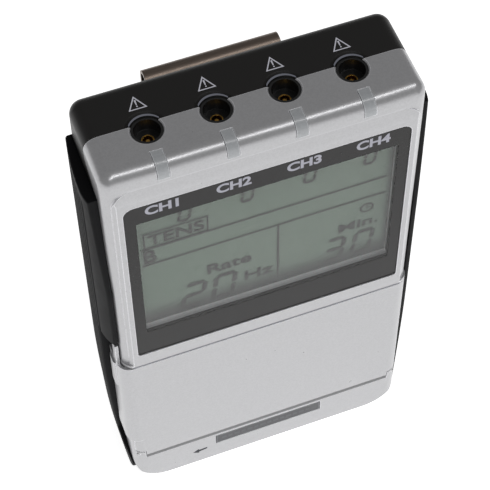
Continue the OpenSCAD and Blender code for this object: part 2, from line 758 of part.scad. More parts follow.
module belt_clip() {
    inner_y = back_y + clip_gap + clip_t / 2;
    fold_y = back_y + clip_gap + clip_fold_r;
    outer_y = fold_y + clip_fold_r - clip_t / 2;
    path = [[inner_y, clip_leg_z0], [inner_y, clip_fold_z]];
    leg = [[outer_y, clip_fold_z], [outer_y - 1.6, 88], [outer_y + 0.6, 78]];
    color([0.55, 0.52, 0.48]) along_x(clip_x - clip_w / 2, clip_x + clip_w / 2) {
        sheet_bar(path[0], path[1]);
        difference() {
            translate([fold_y, clip_fold_z]) circle(clip_fold_r);
            translate([fold_y, clip_fold_z]) circle(clip_fold_r - clip_t);
            translate([fold_y - 5, clip_fold_z - 10]) square(10);
        }
        sheet_bar(leg[0], leg[1]);
        translate(leg[1]) circle(clip_t / 2);
        sheet_bar(leg[1], leg[2]);
    }
}

module screw(x, z, y_head, r, head_r, head_t, length) {
    difference() {
        union() {
            rod_y(x, y_head - head_t, y_head, z, head_r);
            rod_y(x, y_head - head_t - length, y_head, z, r);
        }
        translate([x, y_head, z]) for (a = [0, 90]) rotate([0, a, 0])
            cube([head_r * 1.3, 1.4, 0.5], center = true);
    }
}

module case_screws() color([0.3, 0.3, 0.32]) for (x = [-screw_x, screw_x], z = screw_z)
    screw(x, z, back_y - screw_sink + screw_head_t, screw_r - 0.1, screw_head_r, screw_head_t, 19.1);

module board_screws() color([0.75, 0.75, 0.75]) for (x = [-peg_x, peg_x])
    screw(x, board_screw_z, board_y + board_t + 1.2, 1, 1.9, 1.2, 4.2);

front_housing();
rear_housing();
left_grip();
right_grip();
display_lens();
lens_gasket();
lcd_panel();
lcd_frame();
lcd_connector_strips();
light_pipe_1();
light_pipe_2();
light_pipe_3();
light_pipe_4();
channel_leds();
lead_jack_1();
lead_jack_2();
lead_jack_3();
lead_jack_4();
jack_sleeves();
jack_pins();
jack_board();
board_header();
main_board();
controller_chip();
output_transformers();
transformer_coils();
capacitors();
buzzer();
dc_inlet();
dc_inlet_pin();
key_mat();
ch1_up_key();
ch2_up_key();
ch3_up_key();
ch4_up_key();
ch1_down_key();
ch2_down_key();
ch3_down_key();
ch4_down_key();
power_key();
mode_key();
select_key();
set_key();
keypad_door();
door_hinge_pin();
nameplate();
battery_door();
battery_cell_1();
battery_cell_2();
battery_cell_3();
battery_cell_4();
battery_springs();
battery_contacts();
belt_clip();
case_screws();
board_screws();
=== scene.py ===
import json
import math

import bmesh
import bpy
from mathutils import Matrix, Vector

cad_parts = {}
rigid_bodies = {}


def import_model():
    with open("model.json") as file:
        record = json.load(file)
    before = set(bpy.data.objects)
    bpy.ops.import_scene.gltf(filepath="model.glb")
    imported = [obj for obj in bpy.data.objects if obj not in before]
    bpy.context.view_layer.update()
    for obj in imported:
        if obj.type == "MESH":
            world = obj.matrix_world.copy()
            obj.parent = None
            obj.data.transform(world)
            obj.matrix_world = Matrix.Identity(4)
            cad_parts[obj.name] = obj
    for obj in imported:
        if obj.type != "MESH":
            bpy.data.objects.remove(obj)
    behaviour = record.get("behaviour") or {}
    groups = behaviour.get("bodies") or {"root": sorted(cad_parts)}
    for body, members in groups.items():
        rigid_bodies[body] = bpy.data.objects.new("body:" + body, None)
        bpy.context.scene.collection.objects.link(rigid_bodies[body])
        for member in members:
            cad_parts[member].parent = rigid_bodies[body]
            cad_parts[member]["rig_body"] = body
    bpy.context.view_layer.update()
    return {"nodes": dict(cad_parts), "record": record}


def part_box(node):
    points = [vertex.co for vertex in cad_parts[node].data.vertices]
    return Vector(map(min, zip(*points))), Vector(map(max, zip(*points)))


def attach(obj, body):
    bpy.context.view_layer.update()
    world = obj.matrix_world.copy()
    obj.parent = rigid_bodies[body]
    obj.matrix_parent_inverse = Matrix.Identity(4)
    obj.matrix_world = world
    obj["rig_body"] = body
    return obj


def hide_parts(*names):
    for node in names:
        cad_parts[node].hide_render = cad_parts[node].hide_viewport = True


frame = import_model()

MM = 0.001


# ---- places, in millimetres, worked out from the frame ----

def span(node):
    """Lowest and highest corner of a CAD node in millimetres."""
    low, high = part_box(node)
    return low / MM, high / MM


front_low, front_high = span("front_housing")
lens_low, lens_high = span("display_lens")
lcd_low = span("lcd_panel")[0]
grip_low, grip_high = span("right_grip")
plate_low, plate_high = span("nameplate")
top_z = front_high.z
body_hw = front_high.x
clip_rail_depth = 2.4               # the clip rails stand this far off the back
back_y = span("rear_housing")[1].y - clip_rail_depth
jacks = [span(f"lead_jack_{i}") for i in (1, 2, 3, 4)]
channel_x = [(low.x + high.x) / 2 for low, high in jacks]
socket_y = (jacks[0][0].y + jacks[0][1].y) / 2
window_x = 32.8                     # half the width of the clear window
window_z = (lens_low.z + 9.8, lens_low.z + 57.3)
print_t = 0.03                      # thickness of printed marks
print_gap = 0.005                   # air between a mark and the surface under it
figure_lift = 0.25                  # the figures float in front of their shade on the reflector
shade_lift = 0.02


# ---- materials ----

# Sockets of a Mix node that is set to colours
MIX_FACTOR, MIX_A, MIX_B, MIX_RESULT = 0, 6, 7, 2


def linear(red, green, blue):
    """A screen colour, 0 to 255 (sRGB), as linear values with alpha."""
    return tuple(((c / 255 + 0.055) / 1.055) ** 2.4 for c in (red, green, blue)) + (1.0,)


class Nodes:
    """A new material with its shader, and coordinates of the object in millimetres."""

    def __init__(self, name):
        self.material = bpy.data.materials.new(name)
        self.material.use_nodes = True
        self.tree = self.material.node_tree
        self.shader = self.tree.nodes["Principled BSDF"]
        coordinates = self.add("ShaderNodeTexCoord")
        self.place = self.add("ShaderNodeMapping")
        self.place.inputs["Scale"].default_value = (1 / MM, 1 / MM, 1 / MM)
        self.join(coordinates, "Object", self.place, "Vector")

    def add(self, kind, **values):
        """A new node whose sockets or settings have these values."""
        node = self.tree.nodes.new(kind)
        for key, value in values.items():
            if key in node.inputs:
                node.inputs[key].default_value = value
            else:
                setattr(node, key, value)
        return node

    def join(self, source, output, target, socket):
        self.tree.links.new(source.outputs[output], target.inputs[socket])

    def noise(self, scale, stretch=(1, 1, 1), detail=3):
        """Noise with so many features per millimetre, times the stretch along each axis."""
        squeeze = self.add("ShaderNodeVectorMath", operation="MULTIPLY")
        squeeze.inputs[1].default_value = stretch
        self.join(self.place, "Vector", squeeze, 0)
        texture = self.add("ShaderNodeTexNoise", Scale=scale, Detail=detail)
        self.join(squeeze, "Vector", texture, "Vector")
        return texture

    def blend(self, factor, output, low, high, start=0.3, end=0.7):
        """A ramp from one colour to another between two values of a node's output."""
        ramp = self.add("ShaderNodeValToRGB")
        ramp.color_ramp.elements[0].position = start
        ramp.color_ramp.elements[0].color = low
        ramp.color_ramp.elements[1].position = end
        ramp.color_ramp.elements[1].color = high
        self.join(factor, output, ramp, "Fac")
        return ramp

    def relief(self, factor, output, height, edge):
        """Bump from a texture, over edges that are rounded by a small radius."""
        bump = self.add("ShaderNodeBump", Strength=1.0, Distance=height * MM)
        self.join(factor, output, bump, "Height")
        if edge:
            bevel = self.add("ShaderNodeBevel", samples=4, Radius=edge * MM)
            self.join(bevel, "Normal", bump, "Normal")
        self.join(bump, "Normal", self.shader, "Normal")

    def paint_edge_highlight(self, base, bright, radius, gain):
        """Paints a highlight along edges: mixes the base colour into a bright one where a bevel
        turns the normal.
        """
        bevel = self.add("ShaderNodeBevel", samples=6, Radius=radius * MM)
        surface = self.add("ShaderNodeNewGeometry")
        flat = 0.995                # agreement of the two normals away from any edge
        agree = self.add("ShaderNodeVectorMath", operation="DOT_PRODUCT")
        self.join(bevel, "Normal", agree, 0)
        self.join(surface, "True Normal", agree, 1)
        turned = self.add("ShaderNodeMapRange")
        turned.inputs["From Min"].default_value = flat
        turned.inputs["From Max"].default_value = flat - 1.0 / gain
        self.join(agree, "Value", turned, "Value")
        # painted highlight: the bright colour stands in for light caught by the rounded edges
        mix = self.add("ShaderNodeMix", data_type="RGBA")
        mix.inputs[MIX_B].default_value = bright
        self.join(turned, "Result", mix, MIX_FACTOR)
        self.join(base, "Color", mix, MIX_A)
        self.join(mix, MIX_RESULT, self.shader, "Base Color")

    def set(self, **sockets):
        """Sets the shader's sockets; an underscore stands for a space."""
        for key, value in sockets.items():
            self.shader.inputs[key.replace("_", " ")].default_value = value


def tint(colour, factor):
    """A colour made darker or brighter."""
    return tuple(min(1.0, c * factor) for c in colour[:3]) + (1.0,)


def plain(name, colour, roughness, metallic=0.0, grain=3.0, stretch=(1, 1, 1), change=0.08,
          rough_change=0.05, relief=0.004, edge=0.2, **sockets):
    """A material with fine variation of colour, roughness and surface, and rounded edges."""
    m = Nodes(name)
    texture = m.noise(grain, stretch)
    ramp = m.blend(texture, "Fac", tint(colour, 1 - change), tint(colour, 1 + change))
    m.join(ramp, "Color", m.shader, "Base Color")
    rough = m.add("ShaderNodeMapRange")
    rough.inputs["To Min"].default_value = max(0.02, roughness - rough_change)
    rough.inputs["To Max"].default_value = roughness + rough_change
    m.join(m.noise(grain / 12, stretch), "Fac", rough, "Value")
    m.join(rough, "Result", m.shader, "Roughness")
    m.relief(texture, "Fac", relief, edge)
    m.set(Metallic=metallic, **sockets)
    return m.material


def silver_paint():
    """Satin paint with metal flakes, a fine grain and a painted highlight along its edges."""
    m = Nodes("silver_paint")
    flakes = m.add("ShaderNodeTexVoronoi", Scale=3.2)
    m.join(m.place, "Vector", flakes, "Vector")
    separate = m.add("ShaderNodeSeparateColor")
    m.join(flakes, "Color", separate, "Color")
    base = linear(184, 184, 186)
    ramp = m.blend(separate, "Red", tint(base, 0.96), tint(base, 1.04), 0.1, 0.9)
    # painted highlight: near-white along the paint's edges and the frame's outlines
    m.paint_edge_highlight(ramp, linear(250, 250, 254), 0.3, 16.0)
    rough = m.add("ShaderNodeMapRange")
    rough.inputs["To Min"].default_value = 0.26
    rough.inputs["To Max"].default_value = 0.32
    m.join(m.noise(0.4), "Fac", rough, "Value")
    m.join(rough, "Result", m.shader, "Roughness")
    m.relief(m.noise(2.6, detail=4), "Fac", 0.002, 0.25)
    m.set(Metallic=0.55)
    return m.material


def clear_lens():
    """Clear plastic whose index of refraction is low, to keep its reflections faint."""
    m = Nodes("clear_lens")
    m.join(m.blend(m.noise(0.05), "Fac", linear(250, 252, 251), linear(255, 255, 255)),
           "Color", m.shader, "Base Color")
    m.set(Roughness=0.0, IOR=1.3, Transmission_Weight=1.0)
    return m.material


def light_pipe():
    """Hazy clear plastic, with a painted highlight along its edges."""
    m = Nodes("light_pipe")
    texture = m.noise(2)
    haze = m.blend(texture, "Fac", linear(178, 181, 184), linear(190, 193, 196))
    # painted highlight: near-white along the pipe's edges
    m.paint_edge_highlight(haze, linear(250, 252, 255), 0.4, 12.0)
    m.relief(texture, "Fac", 0.002, 0.3)
    m.set(Roughness=0.25, Transmission_Weight=0.15, Coat_Weight=0.3)
    return m.material


def display_glass():
    """Reflective grey-green display, darker where its lower and right edges lie in shade."""
    m = Nodes("lcd_glass")
    separate = m.add("ShaderNodeSeparateXYZ")
    m.join(m.place, "Vector", separate, "Vector")
    lit = m.blend(m.noise(1.2), "Fac", linear(86, 101, 89), linear(90, 105, 93))
    both = m.add("ShaderNodeMath", operation="MULTIPLY")
    fades = (("Z", lcd_low.z + 1.2, lcd_low.z + 9.0), ("X", window_x + 1.0, window_x - 1.6))
    for i, (axis, dark, light) in enumerate(fades):
        fade = m.add("ShaderNodeMapRange", interpolation_type="SMOOTHSTEP")
        fade.inputs["From Min"].default_value = dark
        fade.inputs["From Max"].default_value = light
        m.join(separate, axis, fade, "Value")
        m.join(fade, "Result", both, i)
    mix = m.add("ShaderNodeMix", data_type="RGBA")
    mix.inputs[MIX_A].default_value = linear(36, 38, 38)
    m.join(both, "Value", mix, MIX_FACTOR)
    m.join(lit, "Color", mix, MIX_B)
    m.join(mix, MIX_RESULT, m.shader, "Base Color")
    m.set(Roughness=0.45, Specular_IOR_Level=0.1)
    return m.material


MATERIALS = {
    "silver_paint": silver_paint(),
    "clear_lens": clear_lens(),
    "lcd_glass": display_glass(),
    "black_plastic": plain("black_plastic", linear(31, 30, 29), 0.42, grain=4, change=0.15,
                           relief=0.008, edge=0.3, Specular_IOR_Level=0.3),
    "black_rubber": plain("black_rubber", linear(13, 13, 15), 0.6, change=0.15, relief=0.008,
                          Specular_IOR_Level=0.1),
    "lens_border": plain("lens_border", linear(34, 33, 33), 0.25, grain=1, relief=0.0005, edge=0,
                         Specular_IOR_Level=0.2),
    "white_plastic": plain("white_plastic", linear(150, 152, 150), 0.5),
    "strip_rubber": plain("strip_rubber", linear(190, 130, 135), 0.6),
    "light_pipe": light_pipe(),
    "led_lens": plain("led_lens", linear(220, 225, 200), 0.2),
    "brass_contact": plain("brass_contact", linear(205, 160, 80), 0.28, metallic=1.0, edge=0.1),
    "circuit_board": plain("circuit_board", linear(30, 92, 52), 0.35, grain=1.2, change=0.2),
    "chip_plastic": plain("chip_plastic", linear(38, 38, 40), 0.55),
    "ferrite": plain("ferrite", linear(70, 70, 74), 0.6, grain=5, change=0.2),
    "copper_winding": plain("copper_winding", linear(190, 120, 60), 0.4, grain=6,
                            stretch=(1, 1, 0.1), change=0.25),
    "capacitor_can": plain("capacitor_can", linear(50, 60, 120), 0.35),
    "socket_plastic": plain("socket_plastic", linear(20, 20, 20), 0.3, relief=0.002, edge=0.15),
    "plated_contact": plain("plated_contact", linear(190, 190, 188), 0.3, metallic=1.0, edge=0.1),
    "mat_rubber": plain("mat_rubber", linear(92, 92, 96), 0.6),
    "key_grey": plain("key_grey", linear(142, 145, 150), 0.45, edge=0.5),
    "key_dark": plain("key_dark", linear(88, 92, 98), 0.45, edge=0.5),
    "key_red": plain("key_red", linear(186, 60, 48), 0.45, edge=0.5),
    "steel_wire": plain("steel_wire", linear(180, 180, 180), 0.3, metallic=1.0,
                        stretch=(0.1, 1, 1)),
    "plate_dark": plain("plate_dark", linear(74, 75, 78), 0.4, grain=2, edge=0.1),
    "cell_sleeve": plain("cell_sleeve", linear(50, 90, 62), 0.3, grain=0.5, Coat_Weight=0.4),
    "clip_steel": plain("clip_steel", linear(118, 106, 97), 0.34, metallic=0.9, grain=5,
                        stretch=(0.06, 1, 1), change=0.12, relief=0.003, edge=0.25),
    "screw_steel": plain("screw_steel", linear(70, 70, 72), 0.35, metallic=0.9),
}
SLOTS = {entry["node"]: entry["material_slot"] for entry in frame["record"]["subparts"]}


def print_ink(name, colour):
    return plain(name, colour, 0.5, grain=6, change=0.04, relief=0.001, edge=0,
                 Specular_IOR_Level=0.1)


INK_WHITE = print_ink("ink_white", linear(222, 222, 232))
INK_GREY = print_ink("ink_grey", linear(178, 178, 188))
INK_DARK = print_ink("ink_dark", linear(70, 72, 76))
# painted shadow along the frame's edge above the door
SEAM_SHADOW = print_ink("painted_seam_shadow", linear(142, 143, 150))
# painted highlight on the lit chamfers behind the sockets
RIM_HIGHLIGHT = print_ink("painted_rim_highlight", linear(128, 130, 140))
SEGMENT = print_ink("segment_on", linear(30, 30, 29))
SEGMENT_SHADE = print_ink("segment_shade", linear(84, 94, 86))


# ---- building pieces ----

def piece(name, mesh, body, material):
    """A visible object on a body, with this material."""
    made = bpy.data.objects.new(name, mesh)
    bpy.context.scene.collection.objects.link(made)
    mesh.materials.clear()
    mesh.materials.append(material)
    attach(made, body)
    return made


def mesh_of(name, points, faces, smooth=False):
    """A mesh from points in millimetres."""
    mesh = bpy.data.meshes.new(name)
    mesh.from_pydata([tuple(c * MM for c in p) for p in points], [], faces)
    mesh.polygons.foreach_set("use_smooth", [smooth] * len(mesh.polygons))
    mesh.update()
    return mesh


def settle(made):
    """Applies the piece's modifiers to its mesh."""
    bpy.context.view_layer.update()
    graph = bpy.context.evaluated_depsgraph_get()
    made.data = bpy.data.meshes.new_from_object(made.evaluated_get(graph))
    made.modifiers.clear()


def skin(node):
    """A copy that replaces a CAD node, with welded points, flat flats and smooth rounds."""
    weld, sharp_angle = 0.002, 34
    source = frame["nodes"][node]
    form = bmesh.new()
    form.from_mesh(source.data)
    bmesh.ops.remove_doubles(form, verts=form.verts, dist=weld * MM)
    form.verts.ensure_lookup_table()
    form.verts.index_update()
    points = [tuple(v.co / MM) for v in form.verts]
    faces = [[v.index for v in f.verts] for f in form.faces]
    form.free()
    mesh = mesh_of(node + "_skin", points, faces, smooth=True)
    mesh.set_sharp_from_angle(angle=math.radians(sharp_angle))
    made = piece(node + "_skin", mesh, source["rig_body"], MATERIALS[SLOTS[node]])
    weighted = made.modifiers.new("weighted", "WEIGHTED_NORMAL")
    weighted.keep_sharp = True
    settle(made)
    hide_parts(node)
    return made


def flat_shapes(name, shapes, place, body, material, thickness=print_t):
    """Thin printed shapes: outlines in a plane, laid out in space by place(u, v, lift)."""
    points, faces = [], []
    edges = {edge for shape in shapes for edge in zip(shape, shape[1:] + shape[:1])}
    for shape in shapes:
        start, count = len(points), len(shape)
        points += [place(u, v, 0) for u, v in shape] + [place(u, v, thickness) for u, v in shape]
        faces.append([start + count + i for i in range(count)])
        faces.append([start + i for i in reversed(range(count))])
        for i in range(count):
            j = (i + 1) % count
            if (shape[j], shape[i]) not in edges:         # no wall between neighbours
                faces.append([start + i, start + j, start + count + j, start + count + i])
    mesh = mesh_of(name, points, faces)
    return piece(name, mesh, body, material)


def on_front(y):
    """Lays u, v out as X, Z on a plane that faces the front."""
    return lambda u, v, lift: (u, y - lift, v)


def on_top(z):
    """Lays u, v out as X, Y on a plane that faces up."""
    return lambda u, v, lift: (u, v, z + lift)


def bar(u0, v0, u1, v1):
    """The outline of a rectangle."""
    return [(u0, v0), (u1, v0), (u1, v1), (u0, v1)]


def ring(outer, inner):
    """Quads between two outlines that have as many points."""
    count = len(outer)
    following = [(i + 1) % count for i in range(count)]
    return [[outer[i], outer[j], inner[j], inner[i]] for i, j in enumerate(following)]


def arc(u, v, radius, start, end, steps=6):
    """Points of an arc, angles in degrees."""
    angles = [math.radians(start + (end - start) * i / steps) for i in range(steps + 1)]
    return [(u + radius * math.cos(a), v + radius * math.sin(a)) for a in angles]


def round_outline(u, v, radius, count):
    """The outline of a disc."""
    return arc(u, v, radius, 0, 360 * (1 - 1 / count), count - 1)


def rounded_outline(u0, v0, u1, v1, radius):
    """The outline of a rectangle with round corners."""
    return (arc(u1 - radius, v1 - radius, radius, 0, 90)
            + arc(u0 + radius, v1 - radius, radius, 90, 180)
            + arc(u0 + radius, v0 + radius, radius, 180, 270)
            + arc(u1 - radius, v0 + radius, radius, 270, 360))


def lettering(name, words, box, place, body, material, weight):
    """Letters that fill a box (u0, v0, u1, v1), a print's thickness deep."""
    curve = bpy.data.curves.new(name, "FONT")
    curve.body = words
    curve.offset = weight
    curve.extrude = 0.01                # gives the letters two faces, which are then moved
    text = bpy.data.objects.new(name + "_curve", curve)
    bpy.context.scene.collection.objects.link(text)
    bpy.context.view_layer.update()
    graph = bpy.context.evaluated_depsgraph_get()
    mesh = bpy.data.meshes.new_from_object(text.evaluated_get(graph))
    bpy.data.objects.remove(text)
    us = [v.co.x for v in mesh.vertices]
    vs = [v.co.y for v in mesh.vertices]
    u0, v0, u1, v1 = box
    scale_u = (u1 - u0) / (max(us) - min(us))
    scale_v = (v1 - v0) / (max(vs) - min(vs))
    for v in mesh.vertices:
        u = u0 + (v.co.x - min(us)) * scale_u
        w = v0 + (v.co.y - min(vs)) * scale_v
        v.co = Vector(place(u, w, print_t if v.co.z > 0 else 0)) * MM
    mesh.name = name
    return piece(name, mesh, body, material)


# ---- camera, light and floor ----

def place_camera():
    """The view from the upper left, with a long lens."""
    data = bpy.data.cameras.new("camera")
    data.sensor_width = 36
    data.lens = 129.31
    data.shift_x, data.shift_y = 0.0014, -0.0228
    data.clip_start = 0.01
    camera = bpy.data.objects.new("camera", data)
    bpy.context.scene.collection.objects.link(camera)
    place = (-0.08709, -0.23885, 0.45874)
    turn, drop, roll = math.radians(19.72), math.radians(55.62), math.radians(-0.788)
    forward = Vector((math.sin(turn) * math.cos(drop), math.cos(turn) * math.cos(drop),
                      -math.sin(drop)))
    facing = forward.to_track_quat("-Z", "Y").to_matrix().to_4x4()
    camera.matrix_world = (Matrix.Translation(place) @ facing
                           @ Matrix.Rotation(roll, 4, "Z"))
    bpy.context.scene.camera = camera


def soft_light(name, place, size, power):
    """A rectangular lamp that points at the middle of the object."""
    data = bpy.data.lights.new(name, "AREA")
    data.shape = "RECTANGLE"
    data.size, data.size_y = size
    data.energy = power
    light = bpy.data.objects.new(name, data)
    bpy.context.scene.collection.objects.link(light)
    light.location = place
    aim = Vector((0, 0, 0.07)) - Vector(place)
    light.rotation_euler = aim.to_track_quat("-Z", "Y").to_euler()


def glowing_floor():
    """White paper that also shines a little, as on a light table."""
    m = Nodes("floor_paper")
    m.join(m.blend(m.noise(0.02), "Fac", linear(247, 247, 247), linear(251, 251, 251)), "Color",
           m.shader, "Base Color")
    m.set(Roughness=0.9, Emission_Color=(1, 1, 1, 1), Emission_Strength=0.8)
    return m.material


def studio():
    """A white surround, two soft lamps and the floor."""
    world = bpy.data.worlds.new("studio")
    world.use_nodes = True
    background = world.node_tree.nodes["Background"]
    background.inputs["Color"].default_value = (1, 1, 1, 1)
    background.inputs["Strength"].default_value = 0.24
    bpy.context.scene.world = world
    bpy.context.scene.view_settings.view_transform = "Standard"
    soft_light("front_light", (0.1, -1.3, 0.25), (1.6, 0.5), 1.7)
    soft_light("top_light", (0.16, -0.3, 1.0), (1.2, 0.14), 2.7)
    half = 3000
    corners = [(u, v, 0) for u, v in bar(-half, -half, half, half)]
    floor = bpy.data.objects.new("floor", mesh_of("floor", corners, [[0, 1, 2, 3]]))
    bpy.context.scene.collection.objects.link(floor)
    floor.data.materials.append(glowing_floor())


# ---- pieces ----

def dress_cad_nodes():
    """Every CAD node gets the material of its slot."""
    for node, source in frame["nodes"].items():
        source.data.materials.clear()
        source.data.materials.append(MATERIALS[SLOTS[node]])


def bored(mesh, low, high, y, z, radius):
    """The mesh with a round hole along X between low and high."""
    steps = 48
    angles = [2 * math.pi * i / steps for i in range(steps)]
    circle = [(y + radius * math.cos(a), z + radius * math.sin(a)) for a in angles]
    points = [(x, u, v) for x in (low, high) for u, v in circle]
    faces = [[i, (i + 1) % steps, steps + (i + 1) % steps, steps + i] for i in range(steps)]
    faces += [list(range(steps))[::-1], list(range(steps, 2 * steps))]
    tool = bpy.data.objects.new("bore", mesh_of("bore", points, faces))
    host = bpy.data.objects.new("bored", mesh)
    for thing in (tool, host):
        bpy.context.scene.collection.objects.link(thing)
    cut = host.modifiers.new("bore", "BOOLEAN")
    cut.operation = "DIFFERENCE"
    cut.object = tool
    graph = bpy.context.evaluated_depsgraph_get()
    result = bpy.data.meshes.new_from_object(host.evaluated_get(graph))
    for thing in (tool, host):
        bpy.data.objects.remove(thing)
    return result


def ribbed_grip(side, node):
    """A rubber grip with fine ribs along the rear part of its outer face; side is -1 or 1."""
    crest_x, crest_y = grip_high.x, -4.0
    back_reach, front_reach = 80.0, 14.0          # bulge behind and in front of the crest
    taper_z, taper_share = 50.0, 0.93             # the lower part leans in
    front_edge, back_edge = grip_low.y, grip_high.y
    bottom, top = grip_low.z, grip_high.z
    front_low_r, back_low_r = 6.5, 13.0           # lower corners seen from the side
    side_r, under_r = 3.5, 11.0                   # the housings' corners that it fits
    slant_z, slant_y = 96.0, -8.4                 # the front edge swings back above this height
    # Heights from and to, and the front edge there: beside the cheek and the door
    room = ((15.0, 26.0, -2.6), (26.0, 73.2, -4.0))
    cheek_low, cheek_high, cheek_edge = room[0]
    cheek_back, cheek_drop = 9.6, 8.4             # slope of the edge under the cheek
    rib_pitch, rib_depth, rib_front = 1.9, 0.55, -6.6
    back_margin, low_margin, top_margin = 0.8, 1, 2       # smooth edges round the ribs
    front_fade, back_fade, end_fade = 0.8, 0.6, 4.0       # lengths over which the ribs rise
    hem = 0.45                                    # radius of the front, back and top edges
    fit_gap, least_wall, face_gap = 0.04, 0.03, 0.01
    inlet_hole_r, sharp_angle = 4.2, 50
    across = 150                                  # steps from the front edge to the back edge

    def front(z):
        """The front edge at a height."""
        y = front_edge + max(0.0, z - slant_z) / (top + 1 - slant_z) * (slant_y - front_edge)
        if z < bottom + front_low_r:
            y += front_low_r - math.sqrt(front_low_r ** 2 - (bottom + front_low_r - z) ** 2)
        if side < 0:
            for z0, z1, limit in room:
                if z0 < z <= z1:
                    y = limit
            if z <= cheek_low:
                y = max(y, cheek_edge - (cheek_low - z) * cheek_back / cheek_drop)
        return y

    def back(z):
        """The back edge at a height."""
        past = max(0.0, bottom + back_low_r - z)
        return back_edge - back_low_r + math.sqrt(back_low_r ** 2 - past ** 2)

    def outer(y, z):
        """The outer face without its ribs."""
        reach = back_reach if y >= crest_y else front_reach
        x = crest_x - reach + math.sqrt(reach ** 2 - (y - crest_y) ** 2)
        past = max(0.0, (taper_z - z) / taper_z)
        return body_hw + (x - body_hw) * (1 - taper_share * past ** 1.5)

    def inner(y, z):
        """The inner face, which follows the housings."""
        past = max(0.0, abs(y) - (back_y - side_r))
        under = max(0.0, under_r - 1 - z)
        return fit_gap + min(body_hw - side_r + math.sqrt(side_r ** 2 - past ** 2),
                             body_hw - under_r + math.sqrt(under_r ** 2 - under ** 2))

    def rounded_hem(distance):
        """How far the face drops towards an edge that is this far away."""
        near = max(0.0, 1 - distance / hem)
        return hem * (1 - math.sqrt(max(0.0, 1 - near ** 2)))

    def ribs(y, z):
        """How deep the face lies between two ribs."""
        fade = max(0.0, min(1.0, (y - rib_front) / front_fade,
                            (back(z) - back_margin - y) / back_fade))
        ends = max(0.0, min(1.0, (z - bottom - low_margin) / end_fade,
                            (top - top_margin - z) / end_fade))
        wave = 0.5 - 0.5 * math.cos(2 * math.pi * (back_edge - 0.7 - y) / rib_pitch)
        return rib_depth * wave ** 2 * fade * ends

    # Heights of the rows: closer together at the top, the lower corners and the steps
    rows = sorted({bottom, top, top - 0.1, top - 0.3, top - 0.8, top - 1.6, top - 2.4}
                  | {edge + step for edge in (cheek_low, cheek_high, room[1][1], slant_z)
                     for step in (0.0, 0.01)}
                  | {bottom + back_low_r * (i / 14) ** 2 for i in range(15)}
                  | {bottom + back_low_r + (top - bottom - back_low_r) * i / 36
                     for i in range(37)})
    points, faces = [], []
    for z in rows:
        y0, y1 = front(z), back(z)
        end = rounded_hem(top - z)
        for i in range(across + 1):
            y = y0 + (y1 - y0) * i / across
            drop = max(rounded_hem(y - y0), rounded_hem(y1 - y), end) + ribs(y, z)
            x = max(inner(y, z) + least_wall, outer(y, z) - face_gap - drop)
            points.append((side * x, y, z))
        for i in range(across + 1):
            y = y1 + (y0 - y1) * i / across
            points.append((side * inner(y, z), y, z))
    ring_size = 2 * (across + 1)
    for row in range(len(rows) - 1):
        for i in range(ring_size):
            j = (i + 1) % ring_size
            a, b = row * ring_size, (row + 1) * ring_size
            quad = [a + i, a + j, b + j, b + i]
            faces.append(quad if side > 0 else quad[::-1])
    first = list(range(ring_size))
    last = [(len(rows) - 1) * ring_size + i for i in range(ring_size)]
    faces.append(first[::-1] if side > 0 else first)
    faces.append(last if side > 0 else last[::-1])
    mesh = mesh_of(node + "_ribbed", points, faces, smooth=True)
    if side > 0:
        low, high = span("dc_inlet")
        mesh = bored(mesh, body_hw - 8, crest_x + 3, (low.y + high.y) / 2,
                     (low.z + high.z) / 2, inlet_hole_r)
    mesh.set_sharp_from_angle(angle=math.radians(sharp_angle))
    made = piece(node + "_ribbed", mesh, "housing", MATERIALS["black_rubber"])
    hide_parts(node)


def warning_signs():
    """A printed triangle with a mark of attention behind each socket."""
    half, base, height, line = 2.25, socket_y + 6.2, 3.95, 0.27       # line is the print's width
    inset, top_inset = line * 1.75, line * 2.2            # the line's width at the corners
    foot, foot_half, head, head_half = base + 1.25, 0.12, base + 2.75, 0.22
    dot, dot_r = base + 0.85, 0.2
    for i, x in enumerate(channel_x):
        outer = [(x - half, base), (x + half, base), (x, base + height)]
        inner = [(x - half + inset, base + line), (x + half - inset, base + line),
                 (x, base + height - top_inset)]
        shapes = ring(outer, inner)
        shapes.append([(x - foot_half, foot), (x + foot_half, foot), (x + head_half, head),
                       (x - head_half, head)])
        shapes.append(round_outline(x, dot, dot_r, 8))
        flat_shapes(f"warning_sign_{i + 1}", shapes, on_top(top_z + print_gap), "housing",
                    INK_WHITE)


def paint_rim_highlights():
    """A painted highlight: a bright crescent on the black housing's chamfer behind each socket,
    where the chamfer catches the light.
    """
    near, far, start, end, steps = 3.9, 4.45, 35, 145, 20
    for i, x in enumerate(channel_x):
        outer = arc(x, socket_y, far, start, end, steps)
        inner = [(u, v + (near - far)) for u, v in outer]
        shapes = [[outer[k], outer[k + 1], inner[k + 1], inner[k]] for k in range(steps)]
        flat_shapes(f"socket_rim_highlight_{i + 1}", shapes, on_top(top_z + print_gap), "housing",
                    RIM_HIGHLIGHT)


def lens_border():
    """Black print round the window, on the lens, with the channel numbers."""
    y = lens_low.y - print_gap
    lens_r, window_r = 1.6, 0.15
    outer = rounded_outline(lens_low.x, lens_low.z, lens_high.x, lens_high.z, lens_r)
    inner = rounded_outline(-window_x, window_z[0], window_x, window_z[1], window_r)
    flat_shapes("lens_print", ring(outer, inner), on_front(y), "housing",
                MATERIALS["lens_border"])
    base, letter_height, spread = window_z[1] + 2.45, 3.3, 1.042
    for i, x in enumerate(channel_x):
        middle = x * spread             # a little further apart than the sockets
        reach = 3.9 if i == 0 else 4.3  # a 1 is narrower
        lettering(f"channel_label_{i + 1}", f"CH{i + 1}",
                  (middle - 4.3, base, middle + reach, base + letter_height),
                  on_front(y - print_t), "housing", INK_GREY, weight=0.035)


# Which of a digit's seven segments are on: top, upper right, lower right, bottom, lower left,
# upper left, middle
DIGIT_SEGMENTS = {"0": "1111110", "2": "1101101", "3": "1111001"}


